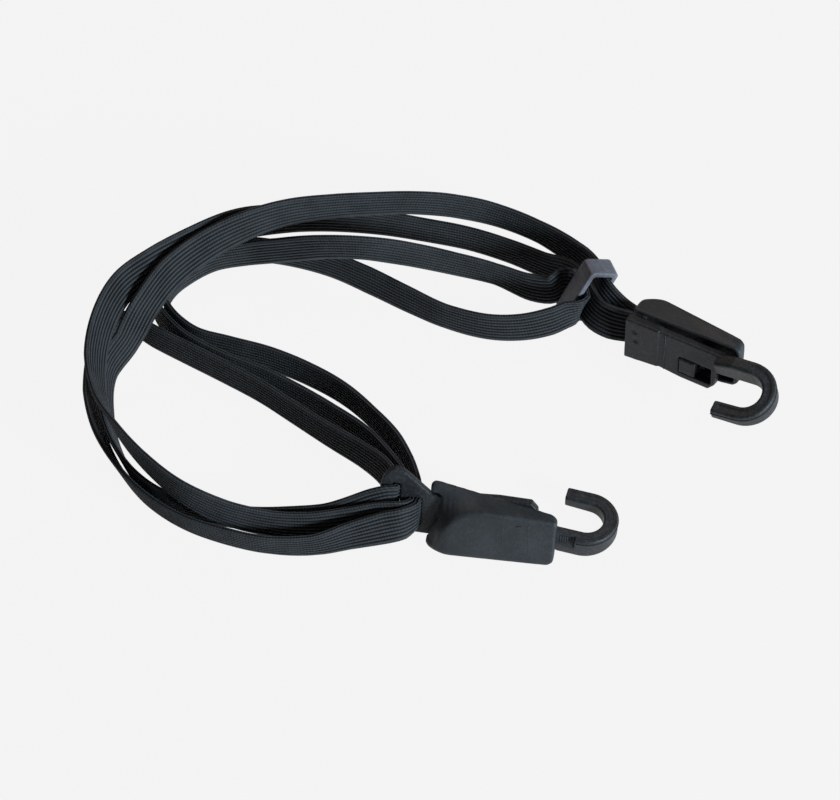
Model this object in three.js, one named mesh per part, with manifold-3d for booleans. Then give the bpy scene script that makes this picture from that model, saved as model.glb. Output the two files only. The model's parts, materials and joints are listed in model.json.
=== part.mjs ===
// A flat elastic bungee cord with two moulded clip hooks, lying on a table.
// Units are millimetres and +Z is up. Each clip is drawn in its own axes:
// X runs from the mouth to the hook, Y runs through the clip with the cover
// on the negative side, and Z is the height across the hook.
import * as THREE from 'three';
import { mergeVertices } from 'three/addons/utils/BufferGeometryUtils.js';
import Module from 'manifold-3d';

const wasm = await Module();
wasm.setup();

// Driving sizes
const CLEARANCE = 0.3;

// Elastic band
const BAND_WIDTH = 14;
const BAND_THICKNESS = 2;
const BAND_EDGE = 0.5;
const BAND_STEP = 5;
const NECK_WIDTH = 11.4;
const NECK_LENGTH = 15;

// Hook base
const BASE_LENGTH = 46;
const BASE_THICKNESS = 3.6;
const BASE_LOW = -8.5;
const MOUTH_HIGH = 9.6;
const MOUTH_PAD_LENGTH = 15;
const MOUTH_PAD_RISE = 0.6;
const WAIST_HIGH = 8.2;
const BULGE_START = 27;
const BULGE_END = 37;
const BULGE_HIGH = 9;
const MARK_RADIUS = 1.3;
const MARK_DEPTH = 0.4;

// Hook: its plane leans against the base, and it is turned a little in that plane
const HOOK_LEAN = 25;
const HOOK_TURN = -6;
const HOOK_FACE = -1.5;
const ROD_WIDTH = 5.3;
const ROD_EDGE = 1.1;
const SHANK_DEPTH = 9.5;
const TIP_DEPTH = 5.4;
const BEND_RADIUS = 8.85;
const BEND_CENTRE = 57.2;
const BEND_ACROSS = 7.9;
const TIP_LENGTH = 10;
const GROOVE_WIDTH = 2.2;
const GROOVE_DEPTH = 0.3;
const BEND_STEPS = 24;

// Cover
const COVER_LENGTH = 47.4;
const COVER_WALL = 1.6;
const COVER_TOP_MOUTH = 14;
const COVER_TOP_END = 5.8;
const COVER_RIM_LOW_MOUTH = -10.6;
const COVER_RIM_LOW_END = -12.1;
const COVER_LOW_MOUTH = -11.2;
const COVER_LOW_END = -14;
const COVER_FACE_HIGH = 7.3;
const COVER_FACE_END = 4.5;
const COVER_FACE_BEND = 20.5;
const COVER_FACE_DROP = 26;
const COVER_CORNER = 1.6;
const COVER_PEAK = 11.4;
const COVER_PEAK_AT = 9;
const COVER_END_DEPTH = 4.8;
const COVER_RIM = 1.6;
const COVER_TRAVEL = 6.5;
const MOUTH_OPENING = 6.4;
const MOUTH_HALF = 9.4;

// Catch
const SLOT_START = 24;
const CATCH_LENGTH = 7;
const CATCH_HEIGHT = 6.4;
const CATCH_PROUD = 0.5;
const SLOT_LOW = -0.6;
const FLANGE_LIP = 2;
const FLANGE_THICKNESS = 1.4;

// Eye plate
const PLATE_THICKNESS = 3;
const PLATE_EDGE = 0.5;
const PLATE_END = -18.6;
const PLATE_LOW = -8.4;
const PLATE_PEAK = 17.6;
const SHOULDER_HIGH = 10.5;
const TONGUE_LENGTH = 12;
const TONGUE_HALF = 8.6;
const FIRST_SLOT_END = -11;
const FIRST_SLOT_WIDTH = 4.4;
const FIRST_SLOT_HIGH = 11.4;
const FIRST_SLOT_LOW = -2.2;
const SECOND_SLOT_END = -2.8;
const SECOND_SLOT_HIGH = 6.4;
const SLOT_FLOOR = -5.8;

// Keeper ring
const RING_WIDTH = 12.8;
const RING_HEIGHT = 27;
const RING_DEPTH = 8;
const RING_WALL = 2.2;
const RING_CORNER = 2;

// Places of the hard pieces, before the whole part is centred
const FRONT_PLACE = new THREE.Vector3(0, -0.7, 11.3);
const FRONT_ROLL = -25;
const BACK_PLACE = new THREE.Vector3(60.5, 92.2, 13.32);
const BACK_ROLL = 167.4;
const BACK_PITCH = -8;
const BACK_HEADING = -23.8;
const RING_PLACE = new THREE.Vector3(41.9, 107, 15.1);
const RING_ROLL = 25.6;
const RING_HEADING = 30.4;

// Routes of the band, from the back clip's mouth round to it again. Each row
// is the middle of the band, X, Y and Z, and its lean to the left in degrees.
const FAR_RUN = [
  [65.7, 94.8, 13.5, -15], [63.5, 95.8, 13.2, -16], [55.2, 99.4, 14.2, -25], [48.2, 104.4, 17.1, -26],
  [43.4, 112.5, 17.3, -26], [36, 122.6, 14.8, -8], [19.4, 133.4, 13, 3], [2.2, 137.4, 14.6, 4],
  [-13.8, 135.2, 19.4, 5], [-29.4, 130.4, 24, 5], [-45.4, 125.2, 26.2, 4], [-61, 119.2, 28.4, 2],
  [-76, 111.6, 30.6, -4], [-89.8, 102.2, 31, -12], [-102.8, 92, 28.6, -21], [-113.4, 78.2, 27, -26],
  [-120, 62.6, 24.6, -25], [-124.9, 53.2, 16, -20], [-130, 41.6, 11.8, -18], [-127.8, 26.6, 8.6, -19],
  [-121, 11.2, 7.3, -16], [-109.8, -2.4, 7.2, -11], [-96, -10.6, 7.2, -6], [-80, -12.8, 7.2, -2],
  [-64, -13.2, 7.4, 1], [-49, -11.2, 8, 5], [-36.4, -9.4, 9.6, 11], [-27, -7, 12.8, 17],
  [-19.5, -4.6, 16.2, 22], [-15, -3.3, 17.5, 25], [-13.3, -2, 16.8, 8], [-12.8, -0.8, 16.2, 0],
];
const OUTER_RUN = [
  [-4.1, -2.4, 12.4, 0], [-4.4, -5.8, 13.8, -6], [-8, -10.6, 15, -20], [-14.5, -13, 13.9, -20],
  [-26, -16.4, 11, -8], [-39, -20.8, 8, 6], [-56, -23.2, 7.1, 11], [-72.8, -22, 7.1, 11],
  [-89.6, -18.2, 7.1, 13], [-104.8, -10.4, 7.1, 14], [-117, 0.6, 7.1, 17], [-127.2, 14.4, 6.9, 21],
  [-133.8, 30.2, 6.7, 23], [-137.2, 46.8, 7.1, 11], [-137, 56.4, 7.1, 3], [-135, 63.2, 7.1, 0],
  [-130.6, 66.8, 7.1, 0], [-125, 66.6, 7.1, 0], [-117.6, 63, 7.1, 0], [-104.2, 57.6, 7.1, 0],
  [-88.4, 51.4, 7.1, 0], [-72.8, 44.8, 7.1, 0], [-57.8, 36.6, 7.4, 0], [-43.2, 28.2, 8.6, 2],
  [-29, 20, 10.6, 5], [-20.5, 13.4, 12.6, 10], [-15.5, 7.4, 14, 14], [-13.3, 3, 14.6, 8],
  [-12.8, 0.4, 15.6, 0],
];
const INNER_RUN = [
  [-4.1, -1.6, 12, 0], [-4.3, 1.8, 10.7, -2], [-6.8, 8.8, 9.8, -10], [-11, 17.4, 9.8, -10],
  [-17.4, 27, 10.4, -6], [-27.2, 36.4, 10.8, 0], [-40, 45.8, 10.8, 0], [-55, 53.2, 10, 0],
  [-71, 58.6, 9, 0], [-87.6, 61.8, 7.8, 0], [-100.8, 64.4, 7.1, 0], [-110.6, 70.6, 7.1, 0],
  [-115.2, 76.4, 7.1, 0], [-116.6, 82.6, 7.1, 0], [-115.2, 88.2, 7.1, 0], [-111, 94.2, 7.6, 0],
  [-102, 101.4, 9, -2], [-90.4, 105, 10.6, -3], [-75.8, 105.2, 16, -3], [-59.4, 105, 21.8, -3],
  [-42.6, 106.6, 22.6, -3], [-26.8, 110.2, 17.8, -3], [-10.8, 112.6, 12.8, -4], [5.8, 113, 9.4, -6],
  [20, 109.6, 8.6, 6], [28.2, 108.6, 10.6, 8], [32.4, 110.3, 13.2, 13], [35, 110, 13.6, 23],
  [36.7, 108.1, 13.3, 25], [38.2, 105.5, 13.2, 26],
];
const MID_RUN = [
  [-6.6, -1.6, 12, 0], [-7, 1.2, 10.8, -3], [-9.6, 6.8, 9.3, -12], [-14, 13, 9.2, -12],
  [-19.4, 19.2, 9, -10], [-29, 28.8, 8.4, -4], [-42.4, 37.4, 7.4, 0], [-57.6, 44.8, 7.1, 0],
  [-73.4, 51, 7.1, 0], [-89.8, 55.6, 7.1, 0], [-105.4, 62.4, 7.1, 0], [-115.6, 71, 7.1, 0],
  [-120.2, 77.8, 7.1, 0], [-121.6, 85.4, 7.1, 0], [-119.8, 92, 7.1, 0], [-115, 99, 7.1, 0],
  [-104.6, 106.8, 7.1, 0], [-91.2, 110.2, 7.1, 0], [-74.2, 110.6, 7.1, 0], [-57.6, 108.4, 7.1, 3],
  [-41.4, 103.2, 7.1, 7], [-25.6, 97, 7.1, 5], [-9.6, 91.4, 7.1, 0], [7.2, 89.2, 7.2, 2],
  [20, 90.4, 8.4, 5], [30, 93.2, 10.6, 8], [36.5, 96.6, 12.4, 6], [40, 98.3, 12.9, -6],
  [40.8, 100.9, 13.1, -22], [39.6, 102.9, 13.1, -26], [38.6, 104.6, 13.1, -26],
];
const NEAR_RUN = [
  [67.1, 91.7, 14.3, -15], [62.6, 93.7, 13.6, -16], [53, 95, 13, -25], [46.6, 98.4, 12.4, -25],
  [42.5, 103.6, 12, -26], [39, 110.2, 12, -24], [33.6, 116.4, 11, -12], [24.5, 120.6, 8.8, -3],
  [9.4, 126.4, 7.4, 1], [-7.2, 130, 7.2, 2], [-24.2, 131.2, 7.2, 2], [-41, 130.8, 8.4, 1],
  [-57.4, 127.4, 11.4, 0], [-72.8, 121.6, 15.8, -4], [-85.8, 112.4, 22.8, -11],
  [-96.6, 102.2, 28.8, -17], [-108.4, 92.4, 28.6, -22], [-119.4, 80.2, 29.6, -26],
  [-128.6, 64.6, 32.4, -26], [-132.2, 48.8, 31.8, -27], [-131.8, 32.4, 28.6, -28],
  [-126.2, 16.4, 26.2, -20], [-116.8, 4.6, 25.2, -11], [-103.6, -6.8, 23.6, -5],
  [-88.8, -15.2, 21.2, -1], [-72.8, -17.2, 15, 2], [-56.2, -16.2, 10.8, 4], [-42.2, -14.6, 10.4, 8],
  [-28, -11.8, 12, 17], [-18, -9.4, 13.6, 23], [-11, -8.2, 14.7, 25], [-8, -6.6, 14.2, 18],
  [-6.7, -4.2, 13.2, 4], [-6.6, -2.4, 12.4, 0],
];

// Finishes
const BAND_FINISH = { color: 0x4a4c50, roughness: 0.85, metalness: 0 };
const COVER_FINISH = { color: 0x55565a, roughness: 0.55, metalness: 0 };
const BASE_FINISH = { color: 0x505155, roughness: 0.6, metalness: 0 };
const RING_FINISH = { color: 0x66676b, roughness: 0.5, metalness: 0 };

const degrees = THREE.MathUtils.degToRad;

// Turns a closed three.js geometry into a solid for cutting and joining
function solid(geometry) {
  const bare = geometry.clone();
  bare.deleteAttribute('normal');
  bare.deleteAttribute('uv');
  const joined = mergeVertices(bare, 1e-5);
  return new wasm.Manifold(new wasm.Mesh({
    numProp: 3,
    vertProperties: new Float32Array(joined.attributes.position.array),
    triVerts: new Uint32Array(joined.index.array),
  }));
}

// A rectangle about the middle with its corners cut or rounded, as a ring of points
function chamfered(half, flat, edge, steps = 1) {
  const ring = [];
  [[-1, -1, 180], [1, -1, 270], [1, 1, 0], [-1, 1, 90]].forEach(([sideways, upwards, start]) => {
    for (let i = 0; i <= steps; i += 1) {
      const angle = degrees(start + 90 * i / steps);
      ring.push([
        sideways * (half - edge) + edge * Math.cos(angle),
        upwards * (flat - edge) + edge * Math.sin(angle),
      ]);
    }
  });
  return ring;
}

// Skins a row of closed rings, each with the same number of points, into a solid
function skin(rings) {
  const count = rings[0].length;
  const index = [];
  for (let start = 0; start < (rings.length - 1) * count; start += count) {
    for (let i = 0; i < count; i += 1) {
      const a = start + i;
      const b = start + (i + 1) % count;
      index.push([a, b, a + count], [b, b + count, a + count]);
    }
  }
  const last = (rings.length - 1) * count;
  for (let i = 1; i + 1 < count; i += 1) {
    index.push([0, i + 1, i], [last, last + i, last + i + 1]);
  }
  const geometry = new THREE.BufferGeometry();
  geometry.setAttribute('position', new THREE.BufferAttribute(new Float32Array(rings.flat(2)), 3));
  geometry.setIndex(index.flat());
  const body = solid(geometry);
  if (body.volume() > 0) {
    return body;
  }
  geometry.setIndex(index.flatMap(([a, b, c]) => [a, c, b]));
  return solid(geometry);
}

// Turns a solid back into a flat-shaded three.js mesh with its own material
function node(name, body, finish) {
  const result = body.getMesh();
  const points = new Float32Array((result.vertProperties.length / result.numProp) * 3);
  for (let i = 0; i < points.length / 3; i += 1) {
    for (let axis = 0; axis < 3; axis += 1) {
      points[i * 3 + axis] = result.vertProperties[i * result.numProp + axis];
    }
  }
  const geometry = new THREE.BufferGeometry();
  geometry.setAttribute('position', new THREE.BufferAttribute(points, 3));
  geometry.setIndex(new THREE.BufferAttribute(new Uint32Array(result.triVerts), 1));
  geometry.computeVertexNormals();
  const mesh = new THREE.Mesh(geometry, new THREE.MeshStandardMaterial(finish));
  mesh.name = name;
  return mesh;
}

// Extrudes an outline in X and Z through a range of Y, with chamfered edges
function slab(shape, from, to, edge = 0, curveSegments = 6) {
  const geometry = new THREE.ExtrudeGeometry(shape, {
    depth: to - from - 2 * edge,
    bevelEnabled: edge > 0,
    bevelThickness: edge,
    bevelSize: edge,
    bevelOffset: -edge,
    bevelSegments: 1,
    curveSegments,
  });
  geometry.rotateX(Math.PI / 2);
  geometry.translate(0, to - edge, 0);
  return solid(geometry);
}

function outline(points) {
  return new THREE.Shape(points.map(([x, z]) => new THREE.Vector2(x, z)));
}

function rectangle(x0, x1, z0, z1) {
  return outline([[x0, z0], [x1, z0], [x1, z1], [x0, z1]]);
}

function roundedRectangle(width, height, radius) {
  const x = width / 2;
  const z = height / 2;
  const shape = new THREE.Shape();
  shape.moveTo(radius - x, -z);
  shape.lineTo(x - radius, -z);
  shape.absarc(x - radius, radius - z, radius, -Math.PI / 2, 0, false);
  shape.absarc(x - radius, z - radius, radius, 0, Math.PI / 2, false);
  shape.absarc(radius - x, z - radius, radius, Math.PI / 2, Math.PI, false);
  shape.absarc(radius - x, radius - z, radius, Math.PI, Math.PI * 1.5, false);
  return shape;
}

// Centre line of the hook, along X and across, with its depth: shank, half-round bend and tip
function hookLine(start, tipLength) {
  const turn = degrees(HOOK_TURN);
  const at = (along, across, depth) => [
    BEND_CENTRE + along * Math.cos(turn) - across * Math.sin(turn),
    BEND_ACROSS + along * Math.sin(turn) + across * Math.cos(turn),
    depth,
  ];
  const line = [
    at(start - BEND_CENTRE, -BEND_RADIUS, SHANK_DEPTH * 0.75),
    at((start - BEND_CENTRE) / 2, -BEND_RADIUS, SHANK_DEPTH),
  ];
  for (let i = 0; i <= BEND_STEPS; i += 1) {
    const angle = Math.PI * (i / BEND_STEPS - 0.5);
    const depth = THREE.MathUtils.lerp(SHANK_DEPTH, TIP_DEPTH, i / BEND_STEPS * 0.8);
    line.push(at(BEND_RADIUS * Math.cos(angle), BEND_RADIUS * Math.sin(angle), depth));
  }
  line.push(at(-tipLength, BEND_RADIUS, TIP_DEPTH));
  return line;
}

// A bar of even width along the hook's line: range gives where it starts and ends through the hook
function bar(line, width, range, edge, steps) {
  const lean = degrees(HOOK_LEAN);
  return skin(line.map(([x, across, depth], i) => {
    const [ax, aAcross] = line[Math.max(i - 1, 0)];
    const [bx, bAcross] = line[Math.min(i + 1, line.length - 1)];
    const length = Math.hypot(bx - ax, bAcross - aAcross);
    const [low, high] = range(depth);
    return chamfered(width / 2, (high - low) / 2, edge, steps).map(([aside, through]) => {
      const u = across + aside * (bx - ax) / length;
      const n = (low + high) / 2 + through;
      return [
        x - aside * (bAcross - aAcross) / length,
        u * Math.cos(lean) - n * Math.sin(lean),
        u * Math.sin(lean) + n * Math.cos(lean),
      ];
    });
  }));
}

// Base with its mouth pad, slot, bulge and hook, moulded in one piece
function hookBase() {
  const slotEnd = SLOT_START + 2 * CLEARANCE + CATCH_LENGTH + COVER_TRAVEL;
  const slotHigh = SLOT_LOW + 2 * CLEARANCE + CATCH_HEIGHT;
  const shankHigh = BASE_LOW + SHANK_DEPTH * 0.65;
  const plate = slab(outline([
    [CLEARANCE, BASE_LOW], [BASE_LENGTH - 4, BASE_LOW], [BASE_LENGTH + 2, BASE_LOW + 2],
    [BASE_LENGTH + 2, shankHigh - 0.6], [BULGE_END + 7, shankHigh], [slotEnd + 2.4, SLOT_LOW],
    [slotEnd + 1.4, slotHigh], [BULGE_END, BULGE_HIGH], [BULGE_START, BULGE_HIGH],
    [BULGE_START - 2, WAIST_HIGH + 0.8], [MOUTH_PAD_LENGTH, WAIST_HIGH], [CLEARANCE, MOUTH_HIGH],
  ]), 0, BASE_THICKNESS, 0.4);
  const pad = slab(outline([
    [CLEARANCE, BASE_LOW], [MOUTH_PAD_LENGTH, BASE_LOW - 0.3],
    [MOUTH_PAD_LENGTH, WAIST_HIGH], [CLEARANCE, MOUTH_HIGH],
  ]), 0, BASE_THICKNESS + MOUTH_PAD_RISE, 0.4);
  const face = (depth) => [HOOK_FACE - depth, HOOK_FACE];
  const rod = bar(hookLine(BULGE_END + 4, TIP_LENGTH), ROD_WIDTH, face, ROD_EDGE, 3);
  const groove = hookLine(COVER_LENGTH + COVER_TRAVEL + 1, TIP_LENGTH - 2);
  const topGroove = bar(groove, GROOVE_WIDTH, () => [HOOK_FACE - GROOVE_DEPTH, HOOK_FACE + 1], 0.1);
  const underGroove = bar(
    groove,
    GROOVE_WIDTH,
    (depth) => [HOOK_FACE - depth - 1, HOOK_FACE - depth + GROOVE_DEPTH],
    0.1,
  );
  const slot = slab(rectangle(SLOT_START, slotEnd, SLOT_LOW, slotHigh), -1, SHANK_DEPTH + 1);
  const coverRoom = slab(rectangle(BULGE_END, COVER_LENGTH + COVER_TRAVEL + CLEARANCE, -20, 20), -5, 0);
  let body = plate.add(pad).add(rod.subtract(coverRoom));
  body = body.subtract(topGroove).subtract(underGroove).subtract(slot);
  for (const [x, z] of [[4.6, -4.2], [5.2, -0.2]]) {
    const disc = new THREE.CylinderGeometry(MARK_RADIUS, MARK_RADIUS, 2, 14);
    disc.translate(x, BASE_THICKNESS + MOUTH_PAD_RISE + 1 - MARK_DEPTH, z);
    body = body.subtract(solid(disc));
  }
  return body;
}

// How deep the cover is at a place along the clip
function coverDepth(x) {
  if (x < COVER_PEAK_AT) {
    const rise = Math.sin((x / COVER_PEAK_AT) * Math.PI / 2);
    return COVER_PEAK * (0.62 + 0.38 * rise);
  }
  const share = (x - COVER_PEAK_AT) / (COVER_LENGTH - COVER_PEAK_AT);
  return THREE.MathUtils.lerp(COVER_PEAK, COVER_END_DEPTH, share);
}

// Places along the cover where its cross-section is drawn, as shares of its length
const COVER_STATIONS = [
  0, 0.025, 0.065, 0.1, 0.14, 0.18, 0.22, 0.26, 0.32, 0.43, 0.65, 0.85, 0.96, 1,
];
const COVER_HOLLOW = COVER_STATIONS.filter((share) => share >= 0.065 && share <= 0.96);

// One closed cross-section of the cover, rim first, as points in X, Y and Z
function coverSection(share, wall, rimAt) {
  const { lerp } = THREE.MathUtils;
  const x = share * COVER_LENGTH;
  const round = THREE.MathUtils.clamp(Math.max(1 - share / 0.045, (share - 0.94) / 0.06), 0, 1);
  const corner = COVER_CORNER * (1 - Math.sqrt(1 - round ** 2));
  const bend = Math.max(1 - x / COVER_FACE_BEND, 0);
  const top = lerp(COVER_TOP_MOUTH, COVER_TOP_END, share) - corner - wall;
  const rimLow = lerp(COVER_RIM_LOW_MOUTH, COVER_RIM_LOW_END, share) + corner + wall;
  const low = lerp(COVER_LOW_MOUTH, COVER_LOW_END, share) + corner + wall;
  const face = wall - coverDepth(x);
  const straight = lerp(COVER_FACE_HIGH, COVER_FACE_END, Math.max(x / COVER_FACE_BEND - 1, 0) / 1.3);
  const faceTop = Math.max(straight - COVER_FACE_DROP * bend ** 3 - wall * 0.6, low + 2.4);
  const soft = 0.9;
  return [
    [x, rimAt, rimLow], [x, -COVER_RIM, rimLow], [x, face + soft, low], [x, face, low + soft],
    [x, face, faceTop - soft], [x, face + soft * 0.7, faceTop + soft * 0.6],
    [x, -COVER_RIM - 1, top - 0.5], [x, -COVER_RIM, top], [x, rimAt, top],
  ];
}

// Hollow cover, open towards the base and at the mouth
function cover() {
  const outer = skin(COVER_STATIONS.map((share) => coverSection(share, 0, -CLEARANCE)));
  const inside = skin(COVER_HOLLOW.map((share) => coverSection(share, COVER_WALL, 1)));
  const mouth = slab(rectangle(-1, 4, -MOUTH_HALF, MOUTH_HALF), -MOUTH_OPENING, 1);
  return outer.subtract(inside).subtract(mouth);
}

// Catch: a square stud through the base's slot, with a lip under the base
function catchStud() {
  const x0 = SLOT_START + CLEARANCE;
  const x1 = x0 + CATCH_LENGTH;
  const z0 = SLOT_LOW + CLEARANCE;
  const z1 = z0 + CATCH_HEIGHT;
  const ceiling = -(coverDepth(x1) - COVER_WALL - 2 * CLEARANCE);
  const stud = slab(rectangle(x0, x1, z0, z1), -FLANGE_THICKNESS, BASE_THICKNESS + CATCH_PROUD, 0.4);
  const lip = slab(
    rectangle(x0 - FLANGE_LIP, x1 + FLANGE_LIP, z0 - FLANGE_LIP, z1 - 2),
    -FLANGE_THICKNESS - CLEARANCE,
    -CLEARANCE,
  );
  const post = slab(rectangle(x0 + 1, x1 - 1, z0, z1 - 2.6), ceiling, -FLANGE_THICKNESS);
  return stud.add(lip).add(post);
}

// Eye plate with two slots and a tongue held inside the front clip's mouth
function eyePlate() {
  const shape = outline([
    [PLATE_END, -4.4], [PLATE_END + 2.6, PLATE_LOW], [TONGUE_LENGTH, PLATE_LOW],
    [TONGUE_LENGTH, TONGUE_HALF], [2 * CLEARANCE, TONGUE_HALF], [-1.8, SHOULDER_HIGH],
    [-9, PLATE_PEAK - 1.6], [-11, PLATE_PEAK - 0.5], [-13.4, PLATE_PEAK], [-15.8, PLATE_PEAK - 1.4],
    [-17.8, PLATE_PEAK - 4.4], [PLATE_END, 9.4],
  ]);
  const first = FIRST_SLOT_END - FIRST_SLOT_WIDTH;
  const firstSlot = outline([
    [first, FIRST_SLOT_LOW], [FIRST_SLOT_END, FIRST_SLOT_LOW], [FIRST_SLOT_END, FIRST_SLOT_HIGH],
    [first + 1.4, FIRST_SLOT_HIGH], [first, FIRST_SLOT_HIGH - 2],
  ]);
  const bar = 2.8;
  const secondSlot = rectangle(FIRST_SLOT_END + bar, SECOND_SLOT_END, SLOT_FLOOR, SECOND_SLOT_HIGH);
  const front = -CLEARANCE - PLATE_THICKNESS;
  return slab(shape, front, -CLEARANCE, PLATE_EDGE)
    .subtract(slab(firstSlot, front - 1, 1))
    .subtract(slab(secondSlot, front - 1, 1));
}

// Keeper: a flat strip bent into a rectangle, open along its own Y
function keeperRing() {
  const frame = roundedRectangle(RING_WIDTH, RING_HEIGHT, RING_CORNER);
  const hole = roundedRectangle(RING_WIDTH - 2 * RING_WALL, RING_HEIGHT - 2 * RING_WALL, 0.8);
  return slab(frame, -RING_DEPTH / 2, RING_DEPTH / 2, 0.3, 3)
    .subtract(slab(hole, -RING_DEPTH, RING_DEPTH, 0, 2));
}

// One stretch of flat band, swept along its route with its width kept upright.
// It draws in towards the ends that are pulled through a slot.
function bandRun(rows, neckAtStart, neckAtEnd) {
  const curve = new THREE.CatmullRomCurve3(rows.map(([x, y, z]) => new THREE.Vector3(x, y, z)));
  const steps = [];
  rows.slice(1).forEach(([x, y, z], i) => {
    const [ax, ay, az] = rows[i];
    const count = Math.max(1, Math.round(Math.hypot(x - ax, y - ay, z - az) / BAND_STEP));
    for (let k = 0; k < count; k += 1) {
      steps.push(i + k / count);
    }
  });
  steps.push(rows.length - 1);
  const start = curve.getPoint(0);
  const end = curve.getPoint(1);
  return skin(steps.map((step) => {
    const middle = curve.getPoint(step / (rows.length - 1));
    const ahead = curve.getTangent(step / (rows.length - 1));
    const row = Math.min(Math.floor(step), rows.length - 2);
    const lean = degrees(THREE.MathUtils.lerp(rows[row][3], rows[row + 1][3], step - row));
    const side = new THREE.Vector3(-ahead.y, ahead.x, 0).normalize();
    const rise = new THREE.Vector3().crossVectors(ahead, side);
    const across = side.clone().multiplyScalar(Math.sin(lean)).addScaledVector(rise, Math.cos(lean));
    const through = new THREE.Vector3().crossVectors(across, ahead);
    const fromSlot = Math.min(
      neckAtStart ? middle.distanceTo(start) : NECK_LENGTH,
      neckAtEnd ? middle.distanceTo(end) : NECK_LENGTH,
    );
    const share = THREE.MathUtils.smoothstep(fromSlot, 0, NECK_LENGTH);
    const half = THREE.MathUtils.lerp(NECK_WIDTH, BAND_WIDTH, share) / 2;
    const flat = BAND_THICKNESS / 2;
    return chamfered(half, flat, BAND_EDGE).map(([w, d]) => (
      middle.clone().addScaledVector(across, w).addScaledVector(through, d).toArray()
    ));
  }));
}

// Assembly
const part = new THREE.Group();
part.name = 'bungee_cord';
const table = new THREE.Group();
part.add(table);

const front = new THREE.Group();
front.position.copy(FRONT_PLACE);
front.rotation.set(degrees(FRONT_ROLL), 0, 0, 'ZYX');
front.add(node('hook_base_front', hookBase(), BASE_FINISH));
front.add(node('cover_front', cover(), COVER_FINISH));
front.add(node('catch_front', catchStud(), COVER_FINISH));
front.add(node('eye_plate', eyePlate(), BASE_FINISH));

const back = new THREE.Group();
back.position.copy(BACK_PLACE);
back.rotation.set(degrees(BACK_ROLL), degrees(BACK_PITCH), degrees(BACK_HEADING), 'ZYX');
back.add(node('hook_base_back', hookBase(), BASE_FINISH));
back.add(node('cover_back', cover(), COVER_FINISH));
back.add(node('catch_back', catchStud(), COVER_FINISH));

const ring = new THREE.Group();
ring.position.copy(RING_PLACE);
ring.rotation.set(0, degrees(RING_ROLL), degrees(RING_HEADING), 'ZYX');
ring.add(node('keeper_ring', keeperRing(), RING_FINISH));

const hard = new THREE.Group();
hard.add(front, back, ring);
table.add(hard);
table.add(node('band_far', bandRun(FAR_RUN, false, true), BAND_FINISH));
table.add(node('band_outer', bandRun(OUTER_RUN, true, true), BAND_FINISH));
table.add(node('band_inner', bandRun(INNER_RUN, true, false), BAND_FINISH));
table.add(node('band_mid', bandRun(MID_RUN, true, false), BAND_FINISH));
table.add(node('band_near', bandRun(NEAR_RUN, false, true), BAND_FINISH));

// The origin is under the middle of the hard pieces, on the table
hard.updateMatrixWorld(true);
const box = new THREE.Box3().setFromObject(hard, true);
table.position.set(-(box.min.x + box.max.x) / 2, -(box.min.y + box.max.y) / 2, -box.min.z);
part.updateMatrixWorld(true);

export default part;
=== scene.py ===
"""Looks of a flat elastic bungee cord with two moulded clip hooks, an eye plate and a keeper ring."""

import json
import math
from typing import NamedTuple

import bpy
from bpy.props import FloatProperty, FloatVectorProperty, IntProperty, PointerProperty
from mathutils import Matrix, Vector

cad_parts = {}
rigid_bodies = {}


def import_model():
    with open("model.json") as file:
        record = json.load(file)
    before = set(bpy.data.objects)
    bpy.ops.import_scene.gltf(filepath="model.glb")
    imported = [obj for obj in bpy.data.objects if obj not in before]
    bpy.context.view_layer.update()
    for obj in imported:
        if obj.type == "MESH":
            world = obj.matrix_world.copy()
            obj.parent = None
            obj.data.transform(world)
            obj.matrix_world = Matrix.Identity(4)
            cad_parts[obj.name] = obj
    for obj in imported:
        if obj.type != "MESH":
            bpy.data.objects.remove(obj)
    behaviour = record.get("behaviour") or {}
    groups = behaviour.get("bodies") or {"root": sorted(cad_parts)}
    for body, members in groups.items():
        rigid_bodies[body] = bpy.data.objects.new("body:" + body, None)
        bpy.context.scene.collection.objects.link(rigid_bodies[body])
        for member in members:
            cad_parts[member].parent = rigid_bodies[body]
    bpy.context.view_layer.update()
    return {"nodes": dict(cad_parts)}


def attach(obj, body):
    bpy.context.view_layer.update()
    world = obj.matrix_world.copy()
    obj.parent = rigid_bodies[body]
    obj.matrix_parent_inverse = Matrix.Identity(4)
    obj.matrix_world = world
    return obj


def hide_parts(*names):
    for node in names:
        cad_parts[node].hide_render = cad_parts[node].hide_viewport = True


bl_info = {
    "name": "Bungee cord",
    "version": (1, 0, 0),
    "blender": (4, 5, 0),
    "location": "View3D > Sidebar > Bungee",
    "description": "Builds a flat elastic bungee cord with clip hooks on its CAD frame",
    "category": "Object",
}

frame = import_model()
STARTUP_OBJECTS = ("Cube", "Light", "Camera")

# Where the table frame of the routes lies in the CAD frame, in metres
TABLE_SHIFT = Vector((-0.050760, -0.050122, 0.000031))

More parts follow.
